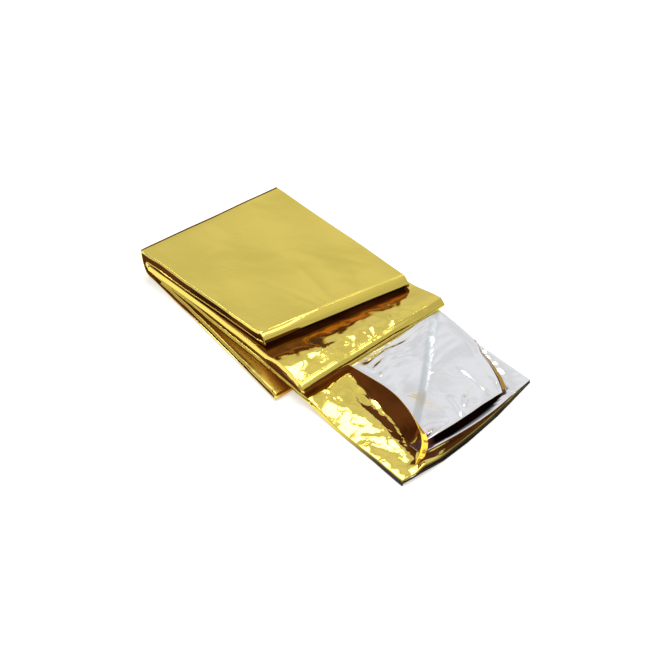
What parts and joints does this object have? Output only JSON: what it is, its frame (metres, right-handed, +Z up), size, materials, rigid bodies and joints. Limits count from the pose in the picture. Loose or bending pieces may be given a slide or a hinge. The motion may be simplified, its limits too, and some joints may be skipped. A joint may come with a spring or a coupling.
{
  "type": "emergency foil blanket",
  "caption": "Thin metallised film blanket, gold on one side and silver on the other, folded back and forth into a flat strip pack and pulled part of the way out.",
  "frame": {"origin": "middle of the footprint of the folded blanket, on the surface it lies on", "axes": "+X along the folded strip, from the pack's left folds to the pulled-out cut end; +Y across the strip, to its far edge; +Z up"},
  "size_m": [0.2555, 0.124, 0.0167],
  "materials": {
    "gold_film": "gold metallised film, satin, crinkled; its other side is silver"
  },
  "bodies": {
    "root": {"foil_blanket": "gold_film"}
  },
  "joints": []
}
